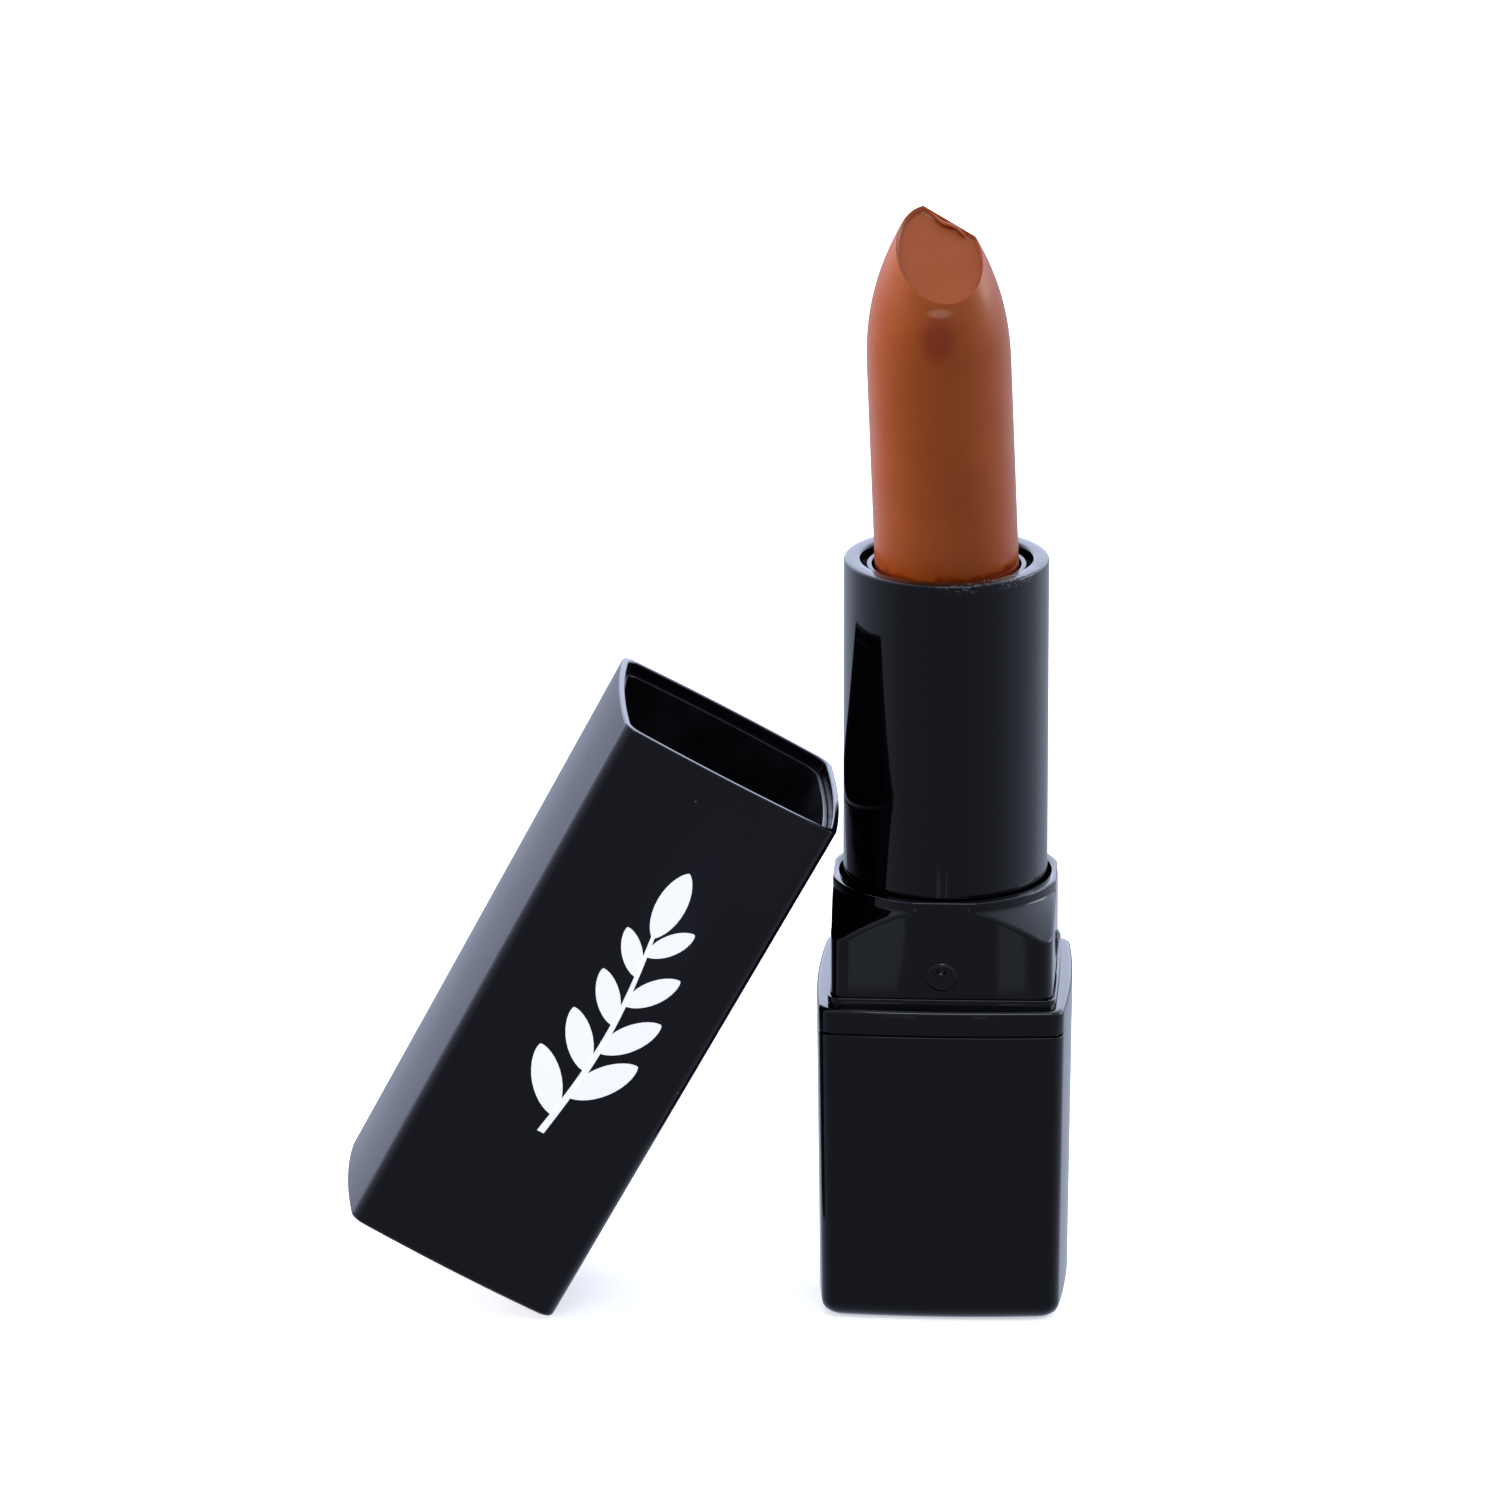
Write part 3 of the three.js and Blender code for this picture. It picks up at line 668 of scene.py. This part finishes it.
def neck():
    """The square neck with its skirt inside the base, its round rim and bore, and four snap bumps."""
    rim_low = NECK_TOP - RIM_HEIGHT
    skirt = CASE_HALF - BASE_WALL - FIT
    ledge = TUBE_BOTTOM + FLANGE_HEIGHT + FLANGE_GAP
    square = (NECK_HALF, NECK_BULGE)
    levels = [(NECK_BOTTOM, skirt, CAVITY_BULGE), (BASE_TOP, skirt, CAVITY_BULGE), (BASE_TOP, *square)]
    levels += neck_shoulder(rim_low - SHOULDER_REACH * SHOULDER_SLOPE, rim_low, square)
    levels += neck_rim()
    levels += [
        (NECK_TOP, *square, NECK_BORE + FINE_EDGE),
        (NECK_TOP - FINE_EDGE, *square, NECK_BORE),
        (ledge, *square, NECK_BORE),
        (ledge, *square, NECK_LOWER_BORE),
        (NECK_BOTTOM, *square, NECK_LOWER_BORE),
    ]
    bm = loft(unit_square(NECK_CORNER / NECK_HALF), levels, closed=True)
    face_out = Matrix.Rotation(math.pi / 2, 4, "X")
    for side in range(4):
        bump = neck_bump()
        turn = Matrix.Rotation(side * math.pi / 2, 4, "Z")
        out = turn @ Matrix.Translation((0, -NECK_HALF, COLLAR_TOP + BUMP_RISE))
        bmesh.ops.transform(bump, matrix=out @ face_out, verts=list(bump.verts))
        absorb(bm, bump)
    make("neck_square", bm, BLACK, "base", ["neck"])


# ---- The sleeve and the bullet ----

def tube():
    flange_top = TUBE_BOTTOM + FLANGE_HEIGHT
    bm = spun([
        (TUBE_INNER, TUBE_BOTTOM), (FLANGE_RADIUS, TUBE_BOTTOM), (FLANGE_RADIUS, flange_top),
        (TUBE_RADIUS, flange_top), (TUBE_RADIUS, TUBE_TOP), (LIP_RADIUS, TUBE_TOP),
        (LIP_RADIUS, TUBE_TOP - LIP_HEIGHT), (TUBE_INNER, TUBE_TOP - LIP_HEIGHT),
    ], ring=True)
    soften(bm, TUBE_EDGE, 5, above=TUBE_TOP - TUBE_EDGE_ZONE)
    make("outer_tube", bm, TUBE_BLACK, "sleeve", ["tube"])


def cup():
    bm = spun([
        (0, CUP_BOTTOM), (CUP_RADIUS, CUP_BOTTOM), (CUP_RADIUS, CUP_TOP), (CUP_INNER, CUP_TOP),
        (CUP_INNER, CUP_BOTTOM + CUP_FLOOR), (0, CUP_BOTTOM + CUP_FLOOR),
    ])
    soften(bm, CUP_EDGE, 4)
    make("bullet_cup", bm, CUP_BLACK, "carriage", ["cup"])


def bullet_bar():
    """The round bar with its pointed nose, before it is cut."""
    straight = BULLET_HEIGHT - NOSE_HEIGHT
    profile = [(0, -BULLET_ROOT), (BULLET_RADIUS, -BULLET_ROOT), (BULLET_RADIUS, straight / 2)]
    for i in range(NOSE_STEPS):
        share = math.sin(i / NOSE_STEPS * math.pi / 2)
        radius = BULLET_RADIUS * (1 - share ** NOSE_FULLNESS) ** (1 / NOSE_BLUNTNESS)
        profile.append((radius, straight + NOSE_HEIGHT * share))
    profile.append((0, BULLET_HEIGHT))
    return spun(profile)


def bullet():
    """A pointed round bar with a slanted cut and a nicked tip, leaning a little in its cup."""
    bm = bullet_bar()
    slope = Vector((
        math.sin(CUT_TILT) * math.sin(CUT_TURN),
        -math.sin(CUT_TILT) * math.cos(CUT_TURN),
        math.cos(CUT_TILT),
    ))
    across = Vector((math.cos(CUT_TURN), math.sin(CUT_TURN), 0))
    uphill = slope.cross(across)
    nick = uphill * math.cos(NICK_TURN) + across * math.sin(NICK_TURN)
    foot = slope * CUT_HEIGHT
    slice_off(bm, foot, slope)
    slice_off(bm, foot + nick * NICK_REACH, nick)
    crease_cut(bm, slope)
    smear_nick(bm, foot, slope, nick)
    lean = Matrix.Translation((0, 0, TUBE_TOP)) @ Matrix.Rotation(-BULLET_LEAN, 4, "Y")
    make("wax_bullet", bm, WAX, "carriage", ["bullet"], lean, sharp=16)


def slice_off(bm, point, normal):
    """Cuts everything past a plane away and closes the cut."""
    cut = bmesh.ops.bisect_plane(
        bm, geom=list(bm.verts) + list(bm.edges) + list(bm.faces), dist=WELD,
        plane_co=point, plane_no=normal, clear_outer=True,
    )
    rim = [g for g in cut["geom_cut"] if isinstance(g, bmesh.types.BMEdge)]
    bmesh.ops.contextual_create(bm, geom=rim)


def cut_face(bm, normal):
    """The largest face that looks along a direction."""
    facing = [f for f in bm.faces if f.normal.dot(normal) > FACING]
    return max(facing, key=lambda f: f.calc_area())


def crease_cut(bm, normal):
    """Rounds the rim of the cut and sinks a fine crease into it, as the mould leaves it, and paints shade
    into the crease through a vertex layer.
    """
    crease_shade = bm.verts.layers.float.new("crease_shade")
    bmesh.ops.recalc_face_normals(bm, faces=list(bm.faces))
    # Each ring's tone sets how much painted shade its crease gets.
    for drop, tone in CUT_RINGS:
        bmesh.ops.remove_doubles(bm, verts=list(cut_face(bm, normal).verts), dist=CUT_RING)
        flat = cut_face(bm, normal)
        ring = list(flat.verts)
        bmesh.ops.inset_region(bm, faces=[flat], thickness=CUT_RING, use_even_offset=False)
        for v in ring:
            v.co.z -= drop
            v[crease_shade] = tone


def smear_nick(bm, foot, slope, nick):
    """A thin curl of wax pushed up along the nicked edge, thickest in the middle."""
    along = slope.cross(nick)
    curl = bmesh.new()
    bmesh.ops.create_grid(curl, x_segments=CURL_STEPS, y_segments=CURL_SIDES, size=1)
    for v in curl.verts:
        share = (v.co.x + 1) / 2
        turn = (v.co.y + 1) * math.pi
        inset = CURL_INSET + CURL_SWAY * math.cos(share * CURL_HALF_WAVES * math.pi)
        thick = CURL_RADIUS * math.sin(share * math.pi) ** CURL_FULLNESS
        centre = foot + nick * (NICK_REACH - inset) + along * (CURL_START + share * CURL_LENGTH)
        v.co = centre + (nick * math.cos(turn) + slope * math.sin(turn)) * thick
    bmesh.ops.remove_doubles(curl, verts=list(curl.verts), dist=WELD)
    absorb(bm, curl)


# ---- The cap ----

def cap_place():
    """Carries the upright cap to where it leans, from the joint that tips it upright."""
    joint = next(j for j in frame["joints"] if j["name"] == "cap_tip")
    yaw = math.atan2(-joint["axis"][0], joint["axis"][1])
    lean = math.radians(-joint["range_deg"][0])
    edge = CAP_HALF - CAP_DRAFT - CAP_EDGE
    turn = Matrix.Rotation(yaw, 4, "Z") @ Matrix.Rotation(lean, 4, "Y")
    return Matrix.Translation(joint["pos_m"]) @ turn @ Matrix.Translation((-edge, 0, -CAP_EDGE))


def cap_shell():
    end_half = CAP_HALF - CAP_DRAFT
    levels = rounding(0, end_half, SIDE_BULGE, CAP_EDGE, "outer_low")
    levels += rounding(CAP_LENGTH, CAP_HALF, SIDE_BULGE, MOUTH_EDGE, "outer_top")
    levels += rounding(CAP_LENGTH, CAP_HALF - CAP_WALL, SIDE_BULGE, MOUTH_EDGE, "inner_top")
    levels += rounding(CAP_END, end_half - CAP_WALL, SIDE_BULGE, INNER_CORNER, "inner_low")
    make("cap_case", loft(unit_square(CORNER / CAP_HALF), levels), CAP_BLACK, "cap",
         ["cap_shell"], cap_place())


def cap_liner():
    top = CAP_LENGTH - LINER_SINK
    outer = CAP_HALF - CAP_WALL - FIT
    inner = outer - LINER_WALL
    end = CAP_END + FIT
    levels = rounding(end, outer - CAP_DRAFT, SIDE_BULGE, INNER_CORNER, "outer_low")
    levels += rounding(top, outer, SIDE_BULGE, FINE_EDGE, "outer_top")
    levels += rounding(top, inner, SIDE_BULGE, FINE_EDGE, "inner_top")
    levels += rounding(end + LINER_WALL, inner - CAP_DRAFT, SIDE_BULGE, INNER_CORNER, "inner_low")
    make("cap_inner", loft(unit_square(CORNER / CAP_HALF), levels), INNER_BLACK, "cap",
         ["cap_liner"], cap_place())


def on_front(x, height, proud):
    """A point off the front of the cap, which bows and widens towards its mouth."""
    half = CAP_HALF - CAP_DRAFT * (1 - height / CAP_LENGTH)
    bow = SIDE_BULGE * (1 - (x / half) ** 2)
    return Vector((x, -(half - SIDE_BULGE + bow + proud), height))


def leaf(bm, foot, angle, length, width):
    """A pointed leaf, drawn flat from its foot. x goes across the cap and z along it."""
    made = bmesh.ops.create_circle(bm, cap_ends=True, segments=LEAF_SIDES, radius=1)
    for v in made["verts"]:
        along = (1 + v.co.x) / 2 * length
        aside = v.co.y * abs(v.co.y) ** LEAF_POINT * width / 2
        x = foot[0] + along * math.sin(angle) + aside * math.cos(angle)
        v.co = (x, 0, foot[1] + along * math.cos(angle) - aside * math.sin(angle))


def stem_at(share):
    """Where the sprig's stem runs, from its foot at 0 to its tip at 1."""
    sway = STEM_SWAY * math.sin(share * math.pi)
    return (SPRIG_MIDDLE + sway, SPRIG_FOOT + share * STEM_LENGTH)


def stem(bm):
    made = bmesh.ops.create_grid(bm, x_segments=1, y_segments=STEM_STEPS, size=1)
    for v in made["verts"]:
        share = (v.co.y + 1) / 2
        x, height = stem_at(share)
        v.co = (x + v.co.x * STEM_WIDTH / 2 * (1 - STEM_TAPER * share), 0, height)


def cap_sprig():
    """The printed motif on the cap's front: a leafy sprig in white."""
    bm = bmesh.new()
    stem(bm)
    for pair in range(LEAF_PAIRS):
        share = (pair + FIRST_PAIR) * PAIR_PITCH
        size = 1 - LEAF_SHRINK * pair
        for side in (-1, 1):
            foot = stem_at(share + PAIR_STAGGER * side)
            leaf(bm, foot, side * LEAF_ANGLE, LEAF_LENGTH * size, LEAF_WIDTH * size)
    leaf(bm, stem_at(TIP_LEAF), 0, LEAF_LENGTH, LEAF_WIDTH)
    flat = list(bm.verts)
    made = bmesh.ops.extrude_face_region(bm, geom=list(bm.faces))["geom"]
    raised = {g for g in made if isinstance(g, bmesh.types.BMVert)}
    for v in flat:
        v.co = on_front(v.co.x, v.co.z, -PRINT_SINK)
    for v in raised:
        v.co = on_front(v.co.x, v.co.z, PRINT_PROUD)
    make("cap_sprig", bm, GLOWING_PRINT, "cap", (), cap_place(), flat=True)


# ---- Camera, light and floor ----

def camera():
    back = Vector((
        math.sin(CAMERA_TURN) * math.cos(CAMERA_RISE),
        -math.cos(CAMERA_TURN) * math.cos(CAMERA_RISE),
        math.sin(CAMERA_RISE),
    ))
    data = bpy.data.cameras.new("camera")
    data.lens = CAMERA_LENS
    data.sensor_width = 36
    data.clip_start = 0.01
    eye = bpy.data.objects.new("camera", data)
    eye.location = Vector(CAMERA_TARGET) + back * CAMERA_DISTANCE
    eye.rotation_euler = back.to_track_quat("Z", "Y").to_euler()
    bpy.context.scene.collection.objects.link(eye)
    bpy.context.scene.camera = eye


def surroundings():
    """Soft studio light: dim in front of the case, brighter beside it and brightest behind and above."""
    world = bpy.data.worlds.new("studio")
    bpy.context.scene.world = world
    n = Nodes(world, "Background", "Generated")
    split = n.add("ShaderNodeSeparateXYZ", {"Vector": n.place})
    below = n.ramp(split.outputs[1], LIGHT_BELOW)
    above = n.ramp(split.outputs[1], LIGHT_ABOVE)
    light = n.mix(n.span(split.outputs[2], *HORIZON_BAND, 0, 1), below, above)
    n.set(Color=n.mix(1, light, STUDIO_TINT, "MULTIPLY"))


def soft_box(name, place, width, height, power, colour):
    data = bpy.data.lights.new(name, "AREA")
    data.shape = "RECTANGLE"
    data.size = width
    data.size_y = height
    data.energy = power
    data.color = colour
    lamp = bpy.data.objects.new(name, data)
    lamp.location = place
    lamp.rotation_euler = (Vector(place) - LAMP_TARGET).to_track_quat("Z", "Y").to_euler()
    bpy.context.scene.collection.objects.link(lamp)
    return lamp


def studio_sheet(name, place, colour, roughness, glow_colour, glow):
    """A flat sheet of the studio, which is no part of the case. place carries a square of half-width 1."""
    bm = bmesh.new()
    bmesh.ops.create_grid(bm, x_segments=1, y_segments=1, size=1)
    bmesh.ops.transform(bm, matrix=place, verts=list(bm.verts))
    material, n = new_finish(name)
    n.set(Base_Color=colour, Roughness=roughness, Specular_IOR_Level=0)
    n.set(Emission_Color=glow_colour, Emission_Strength=glow)
    sheet = place_object(name, bm, material)
    sheet.visible_diffuse = False
    return sheet


def floor():
    place = Matrix.Diagonal((FLOOR_HALF, FLOOR_HALF, 1, 1))
    ground = studio_sheet("floor", place, (0.9, 0.9, 0.9, 1), 0.9, WHITE, FLOOR_GLOW)
    ground.visible_glossy = False


def bounce_card(name, left, right):
    """A pale card that lies before the case and shows only in the gloss of its neck."""
    size = Matrix.Diagonal(((right - left) / 2, CARD_DEPTH / 2, 1, 1))
    place = Matrix.Translation(((left + right) / 2, CARD_MIDDLE, CARD_HEIGHT))
    card = studio_sheet(name, place @ size, (0, 0, 0, 1), 1, STUDIO_TINT, CARD_GLOW)
    card.visible_camera = False
    card.visible_shadow = False


def studio():
    camera()
    floor()
    surroundings()
    left_box = soft_box("left_box", (-0.95, 0.05, 0.42), width=1.1, height=0.45, power=9, colour=WARM)
    left_box.visible_glossy = False
    soft_box("right_box", (1, 0.3, 0.4), width=0.5, height=0.4, power=2.5, colour=WARM)
    soft_box("top_box", (0.1, -0.55, 0.85), width=0.5, height=0.16, power=1.8, colour=COOL)
    bounce_card("left_card", left=-16.4 * MM, right=-8.4 * MM)
    bounce_card("right_card", left=4.6 * MM, right=8.2 * MM)
    bpy.context.scene.view_settings.view_transform = "Standard"


def inner_finishes():
    """Gives the pieces that stay as the model has them their own finishes."""
    finishes = {
        "fork": INNER_BLACK, "spiral": INNER_BLACK, "base_weight": STEEL,
        "friction_ring": RUBBER, "shade_label": PAPER,
    }
    for node, finish in finishes.items():
        frame["nodes"][node].data.materials.clear()
        frame["nodes"][node].data.materials.append(finish)


studio()
base_shell()
base_collar()
neck()
tube()
cup()
bullet()
cap_shell()
cap_liner()
cap_sprig()
inner_finishes()
